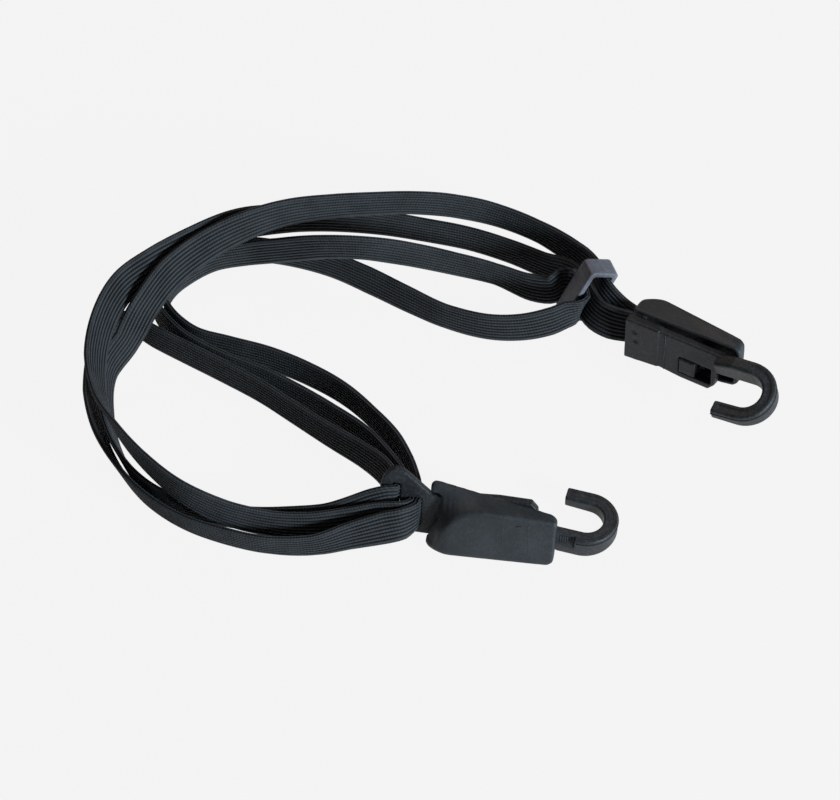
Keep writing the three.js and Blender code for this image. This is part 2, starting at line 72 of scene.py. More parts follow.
# Routes of the band's strands: the middle of the band, X, Y and Z in metres, and its lean in degrees
FAR_RUN = (
    (0.0657, 0.0948, 0.0135, -15), (0.0635, 0.0958, 0.0132, -16), (0.0552, 0.0994, 0.0142, -25),
    (0.0482, 0.1044, 0.0171, -26), (0.0434, 0.1125, 0.0173, -26), (0.0360, 0.1226, 0.0148, -8),
    (0.0194, 0.1334, 0.0130, 3), (0.0022, 0.1374, 0.0146, 4), (-0.0138, 0.1352, 0.0194, 5),
    (-0.0294, 0.1304, 0.0240, 5), (-0.0454, 0.1252, 0.0262, 4), (-0.0610, 0.1192, 0.0284, 2),
    (-0.0760, 0.1116, 0.0306, -4), (-0.0898, 0.1022, 0.0310, -12), (-0.1028, 0.0920, 0.0286, -21),
    (-0.1134, 0.0782, 0.0270, -26), (-0.1200, 0.0626, 0.0246, -25), (-0.1249, 0.0532, 0.0160, -20),
    (-0.1300, 0.0416, 0.0118, -18), (-0.1278, 0.0266, 0.0086, -19), (-0.1210, 0.0112, 0.0073, -16),
    (-0.1098, -0.0024, 0.0072, -11), (-0.0960, -0.0106, 0.0072, -6), (-0.0800, -0.0128, 0.0072, -2),
    (-0.0640, -0.0132, 0.0074, 1), (-0.0490, -0.0112, 0.0080, 5), (-0.0364, -0.0094, 0.0096, 11),
    (-0.0270, -0.0070, 0.0128, 17), (-0.0195, -0.0046, 0.0162, 22), (-0.0150, -0.0033, 0.0175, 25),
    (-0.0133, -0.0020, 0.0168, 8), (-0.0128, -0.0008, 0.0162, 0),
)
OUTER_RUN = (
    (-0.0041, -0.0024, 0.0124, 0), (-0.0044, -0.0058, 0.0138, -6), (-0.0080, -0.0106, 0.0150, -20),
    (-0.0145, -0.0130, 0.0139, -20), (-0.0260, -0.0164, 0.0110, -8), (-0.0390, -0.0208, 0.0080, 6),
    (-0.0560, -0.0232, 0.0071, 11), (-0.0728, -0.0220, 0.0071, 11), (-0.0896, -0.0182, 0.0071, 13),
    (-0.1048, -0.0104, 0.0071, 14), (-0.1170, 0.0006, 0.0071, 17), (-0.1272, 0.0144, 0.0069, 21),
    (-0.1338, 0.0302, 0.0067, 23), (-0.1372, 0.0468, 0.0071, 11), (-0.1370, 0.0564, 0.0071, 3),
    (-0.1350, 0.0632, 0.0071, 0), (-0.1306, 0.0668, 0.0071, 0), (-0.1250, 0.0666, 0.0071, 0),
    (-0.1176, 0.0630, 0.0071, 0), (-0.1042, 0.0576, 0.0071, 0), (-0.0884, 0.0514, 0.0071, 0),
    (-0.0728, 0.0448, 0.0071, 0), (-0.0578, 0.0366, 0.0074, 0), (-0.0432, 0.0282, 0.0086, 2),
    (-0.0290, 0.0200, 0.0106, 5), (-0.0205, 0.0134, 0.0126, 10), (-0.0155, 0.0074, 0.0140, 14),
    (-0.0133, 0.0030, 0.0146, 8), (-0.0128, 0.0004, 0.0156, 0),
)
INNER_RUN = (
    (-0.0041, -0.0016, 0.0120, 0), (-0.0043, 0.0018, 0.0107, -2), (-0.0068, 0.0088, 0.0098, -10),
    (-0.0110, 0.0174, 0.0098, -10), (-0.0174, 0.0270, 0.0104, -6), (-0.0272, 0.0364, 0.0108, 0),
    (-0.0400, 0.0458, 0.0108, 0), (-0.0550, 0.0532, 0.0100, 0), (-0.0710, 0.0586, 0.0090, 0),
    (-0.0876, 0.0618, 0.0078, 0), (-0.1008, 0.0644, 0.0071, 0), (-0.1106, 0.0706, 0.0071, 0),
    (-0.1152, 0.0764, 0.0071, 0), (-0.1166, 0.0826, 0.0071, 0), (-0.1152, 0.0882, 0.0071, 0),
    (-0.1110, 0.0942, 0.0076, 0), (-0.1020, 0.1014, 0.0090, -2), (-0.0904, 0.1050, 0.0106, -3),
    (-0.0758, 0.1052, 0.0160, -3), (-0.0594, 0.1050, 0.0218, -3), (-0.0426, 0.1066, 0.0226, -3),
    (-0.0268, 0.1102, 0.0178, -3), (-0.0108, 0.1126, 0.0128, -4), (0.0058, 0.1130, 0.0094, -6),
    (0.0200, 0.1096, 0.0086, 6), (0.0282, 0.1086, 0.0106, 8), (0.0324, 0.1103, 0.0132, 13),
    (0.0350, 0.1100, 0.0136, 23), (0.0367, 0.1081, 0.0133, 25), (0.0382, 0.1055, 0.0132, 26),
)
MID_RUN = (
    (-0.0066, -0.0016, 0.0120, 0), (-0.0070, 0.0012, 0.0108, -3), (-0.0096, 0.0068, 0.0093, -12),
    (-0.0140, 0.0130, 0.0092, -12), (-0.0194, 0.0192, 0.0090, -10), (-0.0290, 0.0288, 0.0084, -4),
    (-0.0424, 0.0374, 0.0074, 0), (-0.0576, 0.0448, 0.0071, 0), (-0.0734, 0.0510, 0.0071, 0),
    (-0.0898, 0.0556, 0.0071, 0), (-0.1054, 0.0624, 0.0071, 0), (-0.1156, 0.0710, 0.0071, 0),
    (-0.1202, 0.0778, 0.0071, 0), (-0.1216, 0.0854, 0.0071, 0), (-0.1198, 0.0920, 0.0071, 0),
    (-0.1150, 0.0990, 0.0071, 0), (-0.1046, 0.1068, 0.0071, 0), (-0.0912, 0.1102, 0.0071, 0),
    (-0.0742, 0.1106, 0.0071, 0), (-0.0576, 0.1084, 0.0071, 3), (-0.0414, 0.1032, 0.0071, 7),
    (-0.0256, 0.0970, 0.0071, 5), (-0.0096, 0.0914, 0.0071, 0), (0.0072, 0.0892, 0.0072, 2),
    (0.0200, 0.0904, 0.0084, 5), (0.0300, 0.0932, 0.0106, 8), (0.0365, 0.0966, 0.0124, 6),
    (0.0400, 0.0983, 0.0129, -6), (0.0408, 0.1009, 0.0131, -22), (0.0396, 0.1029, 0.0131, -26),
    (0.0386, 0.1046, 0.0131, -26),
)
NEAR_RUN = (
    (0.0671, 0.0917, 0.0143, -15), (0.0626, 0.0937, 0.0136, -16), (0.0530, 0.0950, 0.0130, -25),
    (0.0466, 0.0984, 0.0124, -25), (0.0425, 0.1036, 0.0120, -26), (0.0390, 0.1102, 0.0120, -24),
    (0.0336, 0.1164, 0.0110, -12), (0.0245, 0.1206, 0.0088, -3), (0.0094, 0.1264, 0.0074, 1),
    (-0.0072, 0.1300, 0.0072, 2), (-0.0242, 0.1312, 0.0072, 2), (-0.0410, 0.1308, 0.0084, 1),
    (-0.0574, 0.1274, 0.0114, 0), (-0.0728, 0.1216, 0.0158, -4), (-0.0858, 0.1124, 0.0228, -11),
    (-0.0966, 0.1022, 0.0288, -17), (-0.1084, 0.0924, 0.0286, -22), (-0.1194, 0.0802, 0.0296, -26),
    (-0.1286, 0.0646, 0.0324, -26), (-0.1322, 0.0488, 0.0318, -27), (-0.1318, 0.0324, 0.0286, -28),
    (-0.1262, 0.0164, 0.0262, -20), (-0.1168, 0.0046, 0.0252, -11), (-0.1036, -0.0068, 0.0236, -5),
    (-0.0888, -0.0152, 0.0212, -1), (-0.0728, -0.0172, 0.0150, 2), (-0.0562, -0.0162, 0.0108, 4),
    (-0.0422, -0.0146, 0.0104, 8), (-0.0280, -0.0118, 0.0120, 17), (-0.0180, -0.0094, 0.0136, 23),
    (-0.0110, -0.0082, 0.0147, 25), (-0.0080, -0.0066, 0.0142, 18), (-0.0067, -0.0042, 0.0132, 4),
    (-0.0066, -0.0024, 0.0124, 0),
)

# Each strand's route, and whether it narrows into the eye plate at its start and at its end
STRANDS = {
    "band_far": (FAR_RUN, False, True),
    "band_outer": (OUTER_RUN, True, True),
    "band_inner": (INNER_RUN, True, False),
    "band_mid": (MID_RUN, True, False),
    "band_near": (NEAR_RUN, False, True),
}

# Profile of a rib: share of the ribs' spacing, share of the groove's depth, and height on the rib, which
# also paints shade: the lower, the darker.
RIB_PROFILE = ((0.17, 0.35, 0.42), (0.36, 0.0, 1.0), (0.64, 0.0, 1.0), (0.83, 0.35, 0.42))

# Upper half of the band's edge: share of the edge inwards, share of half the thickness, and height,
# which also paints shade, darkest in the middle of the edge.
EDGE_PROFILE = ((0.3, 0.72, 0.9), (0.0, 0.45, 1.0), (0.1, 0.2, 0.6), (0.7, 0.0, 0.0))

# Profile of a small ridge on a clip: shares of its thickness and of its height
RIDGE_PROFILE = ((-0.5, 0.0), (-0.38, 0.62), (-0.15, 0.95), (0.15, 0.95), (0.38, 0.62), (0.5, 0.0))


class RidgeRow(NamedTuple):
    """Small ridges side by side along a clip, in the clip's own frame and in metres.

    The first ridge lies at X first and each next one a step on. A ridge runs along Z from low
    over its length, stands on the face at Y level, and points to +Y or -Y as outward is 1 or -1.
    """

    first: float
    count: int
    step: float
    low: float
    length: float
    level: float
    thick: float
    high: float
    outward: int


# The raised line across the base's rear face, and the fine ridges beside the cover's hook end
SEAM = RidgeRow(
    first=0.0178, count=1, step=0.0, low=-0.0080, length=0.0160, level=0.0035,
    thick=0.0005, high=0.00035, outward=1,
)
GRIP = RidgeRow(
    first=0.0488, count=6, step=0.00085, low=-0.0057, length=0.0031, level=0.0001,
    thick=0.0005, high=0.0003, outward=-1,
)

# Thin lines on a cover's front face, in metres: start and end, each along and across the cover
LEFT_LINE = ((0.0280, 0.0022), (0.0290, -0.0104))
RIGHT_LINE = ((0.0371, 0.0034), (0.0381, -0.0092))
# The dash is drawn as a near-black bead: painted shade standing in for a small slot in the face.
DASH = ((0.0329, 0.0026), (0.0352, 0.0030))
LINE_RADIUS = 0.00018
DASH_RADIUS = 0.00022
LINE_SINK = 0.0001
LINE_STEPS = 8

# The parting line on a hook's rim, in metres; it starts where a slid cover still clears it. It is a
# near-black bead: painted shade standing in for the parting line's groove.
PARTING_STARTS = (-0.0011, -0.0006)
PARTING_RADIUS = 0.0003
PARTING_SINK = 0.00004
BEND_STEPS = 24
TIP_STEPS = 4

# Share of the hook rod's taper that lies in the bend; the rest lies in the tip
BEND_TAPER = 0.8

# Corners of a bead's round section, and how far one pass of smoothing goes
BEAD_SIDES = 8
SMOOTH_FACTOR = 0.5

# Noise on the surfaces, in waves per metre: woven threads, worn patches, faint clouds and mottle
THREAD_SCALE = 1900.0
PATCH_SCALE = 140.0
CLOUD_SCALE = 70.0
MOTTLE_SCALE = 760.0

# Middle of a noise's values
MIDDLE = 0.5

# Tints of a moulding's colour in its dark and light parts and on a scuff, and the scuff's grey haze
DARK_TINT = 0.66
LIGHT_TINT = 1.18
SCUFF_TINT = 1.7
SCUFF_HAZE = 0.006

# Width of the camera's sensor in millimetres, and half the floor's side in metres
SENSOR_WIDTH = 36.0
FLOOR_HALF = 3.0


class BandSettings(bpy.types.PropertyGroup):
    """Sizes and colours of the elastic band."""

    width: FloatProperty(
        name="Width", description="Width of the band", default=0.014, unit="LENGTH", precision=4,
    )
    neck_width: FloatProperty(
        name="Neck width", description="Width where the band is squeezed into the eye plate",
        default=0.0120, unit="LENGTH", precision=4,
    )
    neck_length: FloatProperty(
        name="Neck length", description="Length over which the band narrows",
        default=0.015, unit="LENGTH", precision=4,
    )
    bunching: FloatProperty(
        name="Bunching", description="How much thicker the squeezed band gets", default=2.8,
    )
    thickness: FloatProperty(
        name="Thickness", description="Thickness over the ribs",
        default=0.002, unit="LENGTH", precision=4,
    )
    ribs: IntProperty(
        name="Ribs", description="Covered rubber threads side by side", default=8, min=2,
    )
    groove: FloatProperty(
        name="Groove", description="Depth of the groove between two ribs",
        default=0.0006, unit="LENGTH", precision=4,
    )
    edge: FloatProperty(
        name="Edge", description="Width of the edge beside the outer ribs",
        default=0.0005, unit="LENGTH", precision=4,
    )
    stitch: FloatProperty(
        name="Stitch", description="Length of one stitch along a rib",
        default=0.0011, unit="LENGTH", precision=4,
    )
    step: FloatProperty(
        name="Step", description="Distance between two cross-sections",
        default=0.002, unit="LENGTH", precision=4,
    )
    rib_colour: FloatVectorProperty(
        name="Rib colour", description="Colour on the ribs", subtype="COLOR",
        default=(0.062, 0.067, 0.073),
    )
    # Painted shade: this dark colour stands in for the shade in the grooves between the ribs.
    groove_shade_colour: FloatVectorProperty(
        name="Groove colour", description="Colour in the grooves", subtype="COLOR",
        default=(0.0030, 0.0027, 0.0031),
    )


class ClipSettings(bpy.types.PropertyGroup):
    """Places, sizes and colours of the moulded clips."""

    front_place: FloatVectorProperty(
        name="Front place", description="Mouth of the front clip, in the table frame",
        default=(0.0, -0.0007, 0.0113), subtype="TRANSLATION", unit="LENGTH", precision=4,
    )
    front_turn: FloatVectorProperty(
        name="Front turn", description="Roll, pitch and heading of the front clip",
        default=(math.radians(-25.0), 0.0, 0.0), subtype="EULER", unit="ROTATION",
    )
    back_place: FloatVectorProperty(
        name="Back place", description="Mouth of the back clip, in the table frame",
        default=(0.0605, 0.0922, 0.01332), subtype="TRANSLATION", unit="LENGTH", precision=4,
    )
    back_turn: FloatVectorProperty(
        name="Back turn", description="Roll, pitch and heading of the back clip",
        default=(math.radians(167.4), math.radians(-8.0), math.radians(-23.8)),
        subtype="EULER", unit="ROTATION",
    )
    hook_centre: FloatVectorProperty(
        name="Hook centre", description="Middle of the hook's bend, along the clip and across the hook",
        size=2, default=(0.0572, 0.0079), unit="LENGTH", precision=4,
    )
    hook_radius: FloatProperty(
        name="Hook radius", description="Radius of the bend's middle line",
        default=0.00885, unit="LENGTH", precision=5,
    )
    hook_turn: FloatProperty(
        name="Hook turn", description="Turn of the hook in its plane",
        default=math.radians(-6.0), subtype="ANGLE",
    )
    hook_lean: FloatProperty(
        name="Hook lean", description="Lean of the hook's plane against the base",
        default=math.radians(25.0), subtype="ANGLE",
    )
    hook_face: FloatProperty(
        name="Hook face", description="Where the hook's upper face lies",
        default=-0.0015, unit="LENGTH", precision=4,
    )
    rod_width: FloatProperty(
        name="Rod width", description="Width of the hook's rod",
        default=0.0053, unit="LENGTH", precision=4,
    )
    shank_depth: FloatProperty(
        name="Shank depth", description="Depth of the hook's rod at the shank",
        default=0.0095, unit="LENGTH", precision=4,
    )
    tip_depth: FloatProperty(
        name="Tip depth", description="Depth of the hook's rod at the tip",
        default=0.0054, unit="LENGTH", precision=4,
    )
    tip_length: FloatProperty(
        name="Tip length", description="Straight length after the bend",
        default=0.010, unit="LENGTH", precision=4,
    )
    cover_length: FloatProperty(
        name="Cover length", description="Length of a cover", default=0.0474, unit="LENGTH", precision=4,
    )
    cover_peak: FloatProperty(
        name="Cover peak", description="Greatest depth of a cover",
        default=0.0114, unit="LENGTH", precision=4,
    )
    cover_peak_at: FloatProperty(
        name="Peak at", description="Where along the cover its depth is greatest",
        default=0.009, unit="LENGTH", precision=4,
    )
    cover_end_depth: FloatProperty(
        name="End depth", description="Depth of a cover at its hook end",
        default=0.0048, unit="LENGTH", precision=4,
    )
    parting: FloatProperty(
        name="Parting", description="How far under its face the front hook's parting line lies",
        default=0.0016, unit="LENGTH", precision=4,
    )
    rear_parting: FloatProperty(
        name="Rear parting", description="How far over its rear the back hook's parting line lies",
        default=0.0018, unit="LENGTH", precision=4,
    )
    cell: FloatProperty(
        name="Cell", description="Size of the mouldings' even faces",
        default=0.0003, unit="LENGTH", precision=5,
    )
    cover_passes: IntProperty(
        name="Cover passes", description="Smoothing passes on the covers", default=50, min=0,
    )
    passes: IntProperty(
        name="Passes", description="Smoothing passes on the other mouldings", default=5, min=0,
    )
    cover_colour: FloatVectorProperty(
        name="Cover colour", description="Colour of the covers", subtype="COLOR",
        default=(0.033, 0.0365, 0.0405),
    )
    base_colour: FloatVectorProperty(
        name="Base colour", description="Colour of the bases, hooks and eye plate", subtype="COLOR",
        default=(0.025, 0.0275, 0.0305),
    )
    # Painted shade: this near-black stands in for the shade in the grooves of the parting lines and the
    # dash.
    parting_shade_colour: FloatVectorProperty(
        name="Parting colour", description="Colour of the parting lines and the dash", subtype="COLOR",
        default=(0.008, 0.008, 0.009),
    )
    ring_colour: FloatVectorProperty(
        name="Ring colour", description="Colour of the keeper ring", subtype="COLOR",
        default=(0.19, 0.19, 0.222),
    )


class StageSettings(bpy.types.PropertyGroup):
    """Camera, light and floor."""

    camera_place: FloatVectorProperty(
        name="Camera", description="Place of the camera", subtype="TRANSLATION", unit="LENGTH",
        default=(0.0887, -0.8625, 1.2135),
    )
    camera_target: FloatVectorProperty(
        name="Target", description="Point in the middle of the picture", subtype="TRANSLATION",
        unit="LENGTH", default=(-0.0643, 0.0058, 0.0),
    )
    lens: FloatProperty(
        name="Lens", description="Focal length in millimetres on a sensor 36 mm wide", default=170.36,
    )
    key_place: FloatVectorProperty(
        name="Key place", description="Place of the key lamp", subtype="TRANSLATION", unit="LENGTH",
        default=(1.35, -0.78, 0.62),
    )
    key_size: FloatProperty(
        name="Key size", description="Diameter of the key lamp", default=0.4, unit="LENGTH",
    )
    key_power: FloatProperty(
        name="Key power", description="Power of the key lamp", default=33.0, unit="POWER",
    )
    key_colour: FloatVectorProperty(
        name="Key colour", description="Colour of the key lamp", subtype="COLOR",
        default=(0.74, 0.89, 1.0),
    )
    back_place: FloatVectorProperty(
        name="Back place", description="Place of the lamp behind", subtype="TRANSLATION", unit="LENGTH",
        default=(-0.5, 0.9, 1.1),
    )
    back_size: FloatProperty(
        name="Back size", description="Diameter of the lamp behind", default=0.5, unit="LENGTH",
    )
    back_power: FloatProperty(
        name="Back power", description="Power of the lamp behind", default=4.0, unit="POWER",
    )
    back_colour: FloatVectorProperty(
        name="Back colour", description="Colour of the lamp behind", subtype="COLOR",
        default=(1.0, 0.84, 0.74),
    )
    room_colour: FloatVectorProperty(
        name="Room colour", description="Colour of the soft light all round", subtype="COLOR",
        default=(0.9, 0.93, 1.0),
    )
    room_strength: FloatProperty(
        name="Room strength", description="Strength of the soft light all round", default=0.09,
    )
    background: FloatVectorProperty(
        name="Background", description="Pale grey of the floor and backdrop", subtype="COLOR",
        default=(0.905, 0.905, 0.905),
    )
    bounce: FloatVectorProperty(
        name="Bounce", description="Grey of the floor in the light that it throws back", subtype="COLOR",
        default=(0.36, 0.36, 0.36),
    )
    glow: FloatProperty(
        name="Glow", description="Strength of the floor's pale grey in the picture", default=1.055,
    )
    glow_share: FloatProperty(
        name="Glow share", description="Share of that grey in the floor; the rest takes the shadow",
        default=0.93, subtype="FACTOR", min=0.0, max=1.0,
    )


class Value:
    """A socket in arithmetic: an expression on values adds the Math nodes for it."""

    def __init__(self, finish, socket):
        self.finish = finish
        self.socket = socket

    def math(self, operation, *others):
        return self.finish.math(operation, self, *others)

    def __add__(self, other):
        return self.finish.math("ADD", self, other)

    def __radd__(self, other):
        return self.finish.math("ADD", other, self)

    def __sub__(self, other):
        return self.finish.math("SUBTRACT", self, other)

    def __rsub__(self, other):
        return self.finish.math("SUBTRACT", other, self)

    def __mul__(self, other):
        return self.finish.math("MULTIPLY", self, other)

    def __rmul__(self, other):
        return self.finish.math("MULTIPLY", other, self)


class Finish:
    """The nodes of one material or world, built from expressions and nodes."""

    def __init__(self, owner):
        owner.use_nodes = True
        self.owner = owner
        self.tree = owner.node_tree
        self.tree.nodes.clear()

    def feed(self, socket, value):
        """Links a value or another socket to a socket, or sets the socket to a number or a colour."""
        if isinstance(value, Value):
            self.tree.links.new(value.socket, socket)
        elif isinstance(value, bpy.types.NodeSocket):
            self.tree.links.new(value, socket)
        elif socket.type == "RGBA":
            socket.default_value = (*value, 1)
        else:
            socket.default_value = value

    def node(self, kind, settings=None, sockets=None):
        """Adds a node: its settings are set first, then its sockets get values or links."""
        node = self.tree.nodes.new(kind)
        for name, value in (settings or {}).items():
            setattr(node, name, value)
        for name, value in (sockets or {}).items():
            self.feed(node.inputs[name], value)
        return node

    def math(self, operation, *values):
        node = self.node("ShaderNodeMath", {"operation": operation}, dict(enumerate(values)))
        return Value(self, node.outputs[0])

    def attribute(self, name):
        node = self.node("ShaderNodeAttribute", {"attribute_name": name})
        return Value(self, node.outputs["Fac"])

    def noise(self, scale, detail, roughness, vector=None):
        """Noise by a place on the object, or by a vector of its own."""
        vector = vector or self.node("ShaderNodeTexCoord").outputs["Object"]
        sockets = {"Vector": vector, "Scale": scale, "Detail": detail, "Roughness": roughness}
        return Value(self, self.node("ShaderNodeTexNoise", None, sockets).outputs["Fac"])

    def remap(self, value, low, high):
        """A share that rises smoothly from 0 at the low value to 1 at the high one."""
        sockets = {"Value": value, "From Min": low, "From Max": high}
        node = self.node("ShaderNodeMapRange", {"interpolation_type": "SMOOTHSTEP"}, sockets)
        return Value(self, node.outputs["Result"])

    def blend(self, share, first, second):
        """A colour between two, by a share from 0 to 1."""
        node = self.node("ShaderNodeMix", {"data_type": "RGBA"}, {"Factor": share})
        colours = [socket for socket in node.inputs if socket.type == "RGBA"]
        self.feed(colours[0], first)
        self.feed(colours[1], second)
        return next(socket for socket in node.outputs if socket.type == "RGBA")

    def bump(self, height, distance, strength):
        sockets = {"Height": height, "Distance": distance, "Strength": strength}
        return self.node("ShaderNodeBump", None, sockets).outputs["Normal"]

    def mix_shaders(self, share, first, second):
        """A shader between two, by a share from 0 to 1."""
        sockets = {0: share, 1: first.outputs[0], 2: second.outputs[0]}
        return self.node("ShaderNodeMixShader", None, sockets).outputs[0]

    def surface(self, sockets):
        shader = self.node("ShaderNodeBsdfPrincipled", None, sockets)
        self.node("ShaderNodeOutputMaterial", None, {"Surface": shader.outputs[0]})
        return self.owner


def band_finish(settings):
    """Woven elastic: dull black ribs of small slanting stitches, with painted shade in the grooves
    between them.
    """
    slant, stretch = 0.35, 0.55
    stitch_weight, thread_weight, patch_weight = 0.25, 1.1, 0.5
    even_part = 0.45
    finish = Finish(bpy.data.materials.new("woven_elastic"))
    rib = finish.attribute("rib")
    along = finish.attribute("along")
    across = finish.attribute("across")
    pitch = settings.width / settings.ribs
    row = (across * (1 / pitch)).math("FLOOR")
    stitch = ((along + slant * across) * (math.tau / settings.stitch) + row * math.pi).math("SINE")
    place = finish.node("ShaderNodeCombineXYZ", None, {"X": along * stretch, "Y": across}).outputs[0]
    threads = finish.noise(THREAD_SCALE, detail=3.0, roughness=0.65, vector=place) - MIDDLE
    patches = finish.noise(PATCH_SCALE, detail=3.0, roughness=0.6) - MIDDLE
    height = MIDDLE + stitch_weight * stitch + thread_weight * threads
    # Painted shade: the height on a rib darkens the grooves and the middle of the band's edges, on top
    # of the weave's stitches, threads and patches.
    weave_tone_and_shade = rib * (even_part + (1 - even_part) * height) + patch_weight * patches
    share = finish.remap(weave_tone_and_shade, low=0.12, high=0.88)
    return finish.surface({
        # The blend runs from the painted groove shade to the ribs' own colour.
        "Base Color": finish.blend(share, settings.groove_shade_colour, settings.rib_colour),
        "Roughness": 0.72 - 0.2 * threads,
        "Normal": finish.bump(rib * height, distance=0.00018, strength=0.7),
        "Specular IOR Level": 0.3,
        "Sheen Weight": 0.06,
        "Sheen Roughness": 0.4,
    })


def moulded_finish(name, colour, grain, roughness, wear):
    """Moulded plastic with a fine spark-eroded grain, an uneven mottle and paler scuffs."""
    finish = Finish(bpy.data.materials.new(name))
    speckle = finish.noise(grain, detail=3.0, roughness=0.6)
    cloud = finish.noise(CLOUD_SCALE, detail=4.0, roughness=0.6)
    mottle = finish.noise(MOTTLE_SCALE, detail=3.0, roughness=0.65)
    uneven_speckle, uneven_cloud = speckle - MIDDLE, cloud - MIDDLE
    scuff = finish.remap(mottle + 0.3 * uneven_cloud, low=0.5, high=0.72)
    tone = cloud + 0.35 * uneven_speckle + wear * (mottle - MIDDLE)
    darker = [DARK_TINT * channel for channel in colour]
    lighter = [LIGHT_TINT * channel for channel in colour]
    scuffed = [min(1.0, SCUFF_TINT * channel + SCUFF_HAZE) for channel in colour]
    plain = finish.blend(finish.remap(tone, low=0.28, high=0.74), darker, lighter)
    height = 0.5 * speckle + 0.3 * cloud + 2.0 * wear * mottle
    return finish.surface({
        "Base Color": finish.blend(wear * scuff, plain, scuffed),
        "Roughness": roughness + 0.2 * uneven_speckle + 0.16 * uneven_cloud,
        "Normal": finish.bump(height, distance=0.0002, strength=0.6),
        "Specular IOR Level": 0.42,
    })


def cover_plastic(settings):
    """The covers' plastic, even and little worn."""
    return moulded_finish(
        "cover_plastic", settings.cover_colour, grain=2400.0, roughness=0.5, wear=0.25,
    )


def base_plastic(settings):
    """The plastic of the bases, hooks, catches and eye plate, mottled and worn."""
    return moulded_finish(
        "base_plastic", settings.base_colour, grain=1500.0, roughness=0.5, wear=0.8,
    )


def parting_plastic(settings):
    """Painted shade for the parting lines and the dash on a cover: near-black plastic in place of the
    shade in their grooves.
    """
    return moulded_finish(
        "parting_plastic", settings.parting_shade_colour, grain=1500.0, roughness=0.7, wear=0.0,
    )


def ring_plastic(settings):
    """The keeper ring's paler, smoother plastic."""
    return moulded_finish(
        "ring_plastic", settings.ring_colour, grain=1900.0, roughness=0.45, wear=0.3,
    )


def centripetal(points, place):
    """Point and direction on a centripetal Catmull-Rom curve, at a place counted in rows."""
    last = len(points) - 1
    row = min(int(place), last - 1)
    share = place - row
    before = points[row - 1] if row > 0 else 2 * points[0] - points[1]
    after = points[row + 2] if row + 2 <= last else 2 * points[last] - points[last - 1]
    here, there = points[row], points[row + 1]
    gap = (there - here).length ** 0.5
    gap_before = (here - before).length ** 0.5 or gap
    gap_after = (after - there).length ** 0.5 or gap
    leave = (here - before) / gap_before - (there - before) / (gap_before + gap) + (there - here) / gap
    arrive = (there - here) / gap - (after - here) / (gap + gap_after) + (after - there) / gap_after
    leave *= gap
    arrive *= gap
    square, cube = share ** 2, share ** 3
    bend = 2 * (here - there) + leave + arrive
    turn = 3 * (there - here) - 2 * leave - arrive
    point = here + leave * share + turn * square + bend * cube
    direction = leave + 2 * turn * share + 3 * bend * square
    return point, direction.normalized()


def band_section(settings):
    """Cross-section of the band as rows of place across, place through, and how high on a rib; the
    height also sets the painted shade in the grooves.
    """
    half, flat, edge = settings.width / 2, settings.thickness / 2, settings.edge
    pitch = (settings.width - 2 * edge) / settings.ribs
    top = []
    for index in range(settings.ribs):
        start = -half + edge + index * pitch
        if index:
            top.append((start, flat - settings.groove, 0.0))
        for share, sink, rib in RIB_PROFILE:
            top.append((start + share * pitch, flat - sink * settings.groove, rib))
    side = [(half - inset * edge, through * flat, rib) for inset, through, rib in EDGE_PROFILE]
    side += [(across, -through, rib) for across, through, rib in reversed(side[:-1])]
    top += side
    return top + [(-across, -through, rib) for across, through, rib in top]


def route_steps(rows, step):
    """Frames along a route: point, direction across the band and direction through it."""
    points = [Vector(row[:3]) + TABLE_SHIFT for row in rows]
    leans = [math.radians(row[3]) for row in rows]
    frames = []
    for index in range(len(rows) - 1):
        count = max(2, round((points[index + 1] - points[index]).length / step))
        for part in range(count + (index == len(rows) - 2)):
            share = part / count
            point, ahead = centripetal(points, index + share)
            lean = leans[index] + (leans[index + 1] - leans[index]) * share
            side = Vector((-ahead.y, ahead.x, 0)).normalized()
            rise = ahead.cross(side)
            across = side * math.sin(lean) + rise * math.cos(lean)
            frames.append((point, across, across.cross(ahead)))
    return frames


def tube_faces(rings, sides, first=0):
    """Faces of a closed tube: quads between its rings of vertices and a cap on each end."""
    faces = []
    for ring in range(rings - 1):
        for k in range(sides):
            a = first + ring * sides + k
            b = first + ring * sides + (k + 1) % sides
            faces.append((a, b, b + sides, a + sides))
    last = first + (rings - 1) * sides
    faces.append(tuple(reversed(range(first, first + sides))))
    faces.append(tuple(range(last, last + sides)))
    return faces


def make_piece(name, vertices, faces, material, smooth=True):
    """A mesh object linked to the scene."""
    mesh = bpy.data.meshes.new(name)
    mesh.from_pydata(vertices, [], faces)
    mesh.validate()
    mesh.materials.append(material)
    if smooth:
        mesh.shade_smooth()
    piece = bpy.data.objects.new(name, mesh)
    bpy.context.scene.collection.objects.link(piece)
    return piece


def add_values(piece, name, values):
    """Stores one number for each vertex, which the material reads by its name."""
    attribute = piece.data.attributes.new(name, "FLOAT", "POINT")
    attribute.data.foreach_set("value", values)


